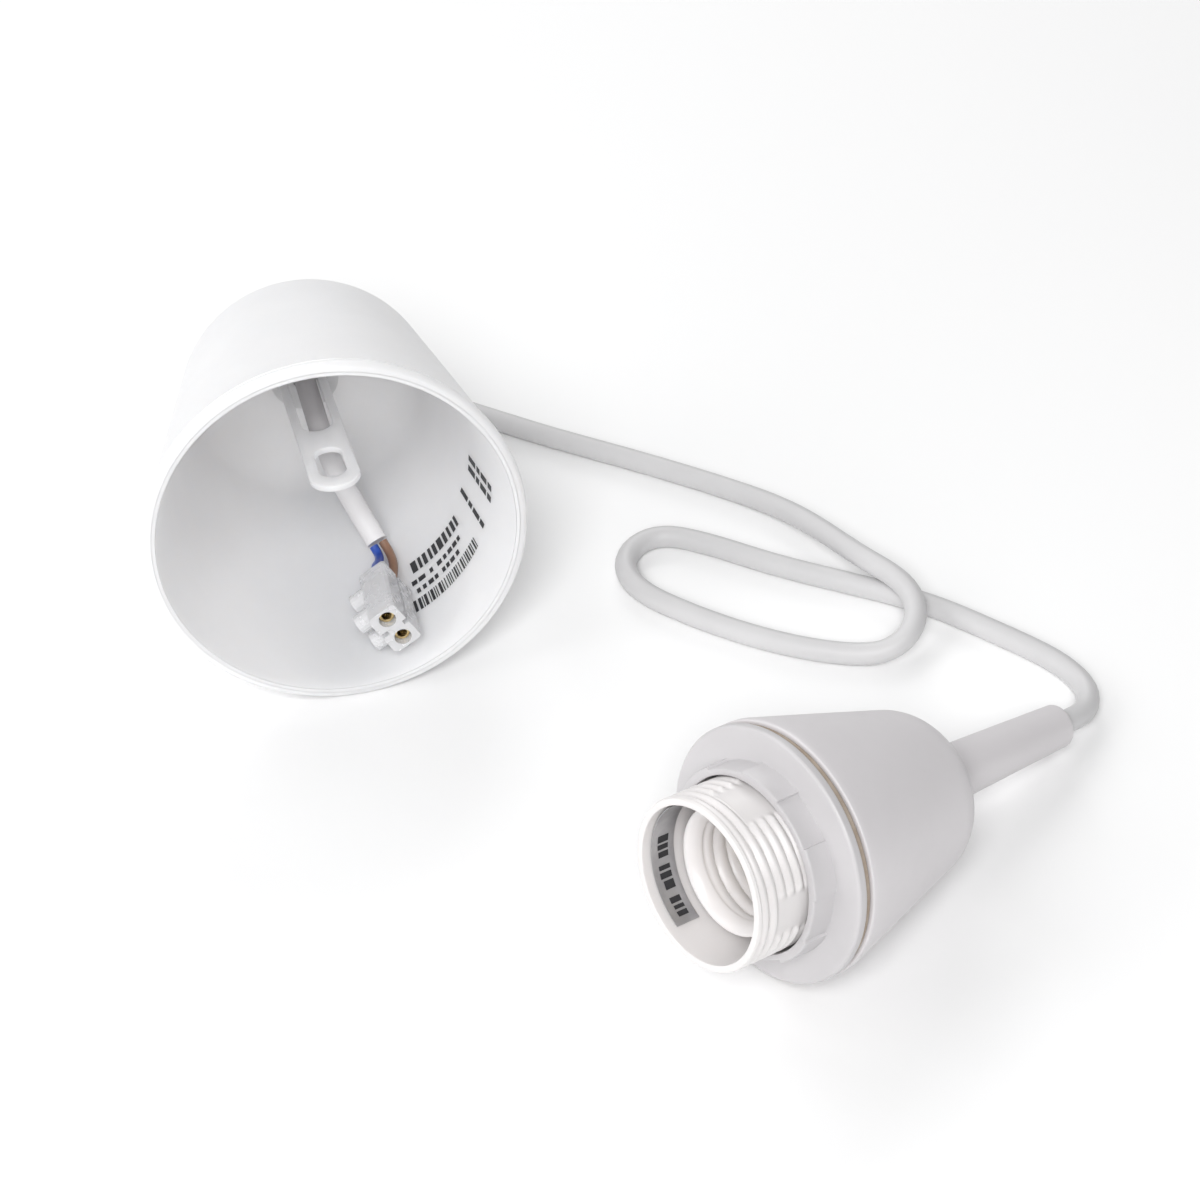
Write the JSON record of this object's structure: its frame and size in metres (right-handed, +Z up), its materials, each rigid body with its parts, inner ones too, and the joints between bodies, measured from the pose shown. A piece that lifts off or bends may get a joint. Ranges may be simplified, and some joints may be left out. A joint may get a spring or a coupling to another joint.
{
  "type": "pendant lamp cord set",
  "caption": "Pendant cord set: conical ceiling cup with hanger strap and terminal block, flexible cord with a loop, and threaded lamp holder with bell cover and shade ring.",
  "frame": {"origin": "centre of the footprint of the cup and holder, on the surface they lie on", "axes": "+Z up; +Y from the lamp holder towards the closed end of the ceiling cup; +X to the right of the cup's open mouth"},
  "size_m": [0.2158, 0.248, 0.0901],
  "materials": {
    "cup_white": "smooth satin",
    "bush_white": "satin",
    "strap_white": "satin",
    "sheath_white": "matt",
    "cord_white": "matt flexible sheath",
    "terminal_clear": "milky translucent",
    "bell_white": "satin",
    "grip_white": "satin",
    "collet_white": "matt",
    "cap_white": "satin",
    "carrier_white": "matt",
    "sleeve_white": "satin",
    "skirt_white": "satin",
    "ring_white": "satin",
    "fibre_brown": "matt pressed fibre",
    "label_silver": "foil label",
    "core_blue": "smooth",
    "core_brown": "smooth",
    "copper": "bright copper",
    "brass": "bright",
    "steel": "zinc plated"
  },
  "bodies": {
    "cord_set": {"canopy_bush": "bush_white", "hanger_strap": "strap_white", "cord_tail": "sheath_white", "core_blue": "core_blue", "core_brown": "core_brown", "copper_blue": "copper", "copper_brown": "copper", "terminal_body": "terminal_clear", "terminal_tube_1": "brass", "terminal_tube_2": "brass", "cord": "cord_white", "grip_tube": "grip_white", "grip_collet": "collet_white", "holder_cap": "cap_white", "holder_cord_end": "sheath_white", "holder_core_blue": "core_blue", "holder_core_brown": "core_brown", "contact_carrier": "carrier_white", "contact_screw_1": "steel", "contact_screw_2": "steel", "thread_sleeve": "sleeve_white", "skirt": "skirt_white", "rating_label": "label_silver"},
    "canopy": {"canopy_cup": "cup_white"},
    "bell": {"bell_cover": "bell_white"},
    "washer": {"shade_washer": "fibre_brown"},
    "ring": {"shade_ring": "ring_white"},
    "centre_leaf": {"centre_contact": "brass"},
    "side_leaf": {"side_contact": "brass"},
    "clamp_screw_1": {"terminal_screw_1": "steel"},
    "clamp_screw_2": {"terminal_screw_2": "steel"},
    "clamp_screw_3": {"terminal_screw_3": "steel"},
    "clamp_screw_4": {"terminal_screw_4": "steel"},
    "lock_screw": {"grip_screw": "steel"}
  },
  "joints": [
    {"name": "canopy_slide", "type": "slide", "parent": "cord_set", "child": "canopy", "axis": [0, 0.9836, -0.1805], "range_m": [0, 0.012]},
    {"name": "bell_slide", "type": "slide", "parent": "cord_set", "child": "bell", "axis": [0.8643, 0.4387, -0.2462], "range_m": [0, 0.015]},
    {"name": "ring_travel", "type": "slide", "parent": "cord_set", "child": "washer", "axis": [-0.8643, -0.4387, 0.2462], "range_m": [0, 0.015]},
    {"name": "ring_turn", "type": "hinge", "parent": "washer", "child": "ring", "pos_m": [0.01901, -0.08687, 0.02973], "axis": [-0.8643, -0.4387, 0.2462], "range_deg": [0, 2160]},
    {"name": "centre_contact_flex", "type": "hinge", "parent": "cord_set", "child": "centre_leaf", "pos_m": [0.02419, -0.07863, 0.02761], "axis": [0.2195, 0.1114, 0.9692], "range_deg": [0, 8], "stiffness_Nm_per_rad": 0.15},
    {"name": "side_contact_flex", "type": "hinge", "parent": "cord_set", "child": "side_leaf", "pos_m": [0.02932, -0.08163, 0.03995], "axis": [-0.4526, 0.8917, 0], "range_deg": [0, 5], "stiffness_Nm_per_rad": 0.04},
    {"name": "clamp_screw_1_travel", "type": "slide", "parent": "cord_set", "child": "clamp_screw_1", "axis": [-0.8829, -0.0847, -0.4618], "range_m": [0, 0.0025]},
    {"name": "clamp_screw_2_travel", "type": "slide", "parent": "cord_set", "child": "clamp_screw_2", "axis": [-0.8829, -0.0847, -0.4618], "range_m": [0, 0.0025]},
    {"name": "clamp_screw_3_travel", "type": "slide", "parent": "cord_set", "child": "clamp_screw_3", "axis": [-0.8829, -0.0847, -0.4618], "range_m": [0, 0.0025]},
    {"name": "clamp_screw_4_travel", "type": "slide", "parent": "cord_set", "child": "clamp_screw_4", "axis": [-0.8829, -0.0847, -0.4618], "range_m": [0, 0.0025]},
    {"name": "lock_screw_travel", "type": "slide", "parent": "cord_set", "child": "lock_screw", "axis": [-0.1792, -0.1887, -0.9655], "range_m": [0, 0.0012]}
  ],
  "couplings": [
    {"joint": "ring_travel", "follows": "ring_turn", "m_per_rad": 0.00039789}
  ]
}
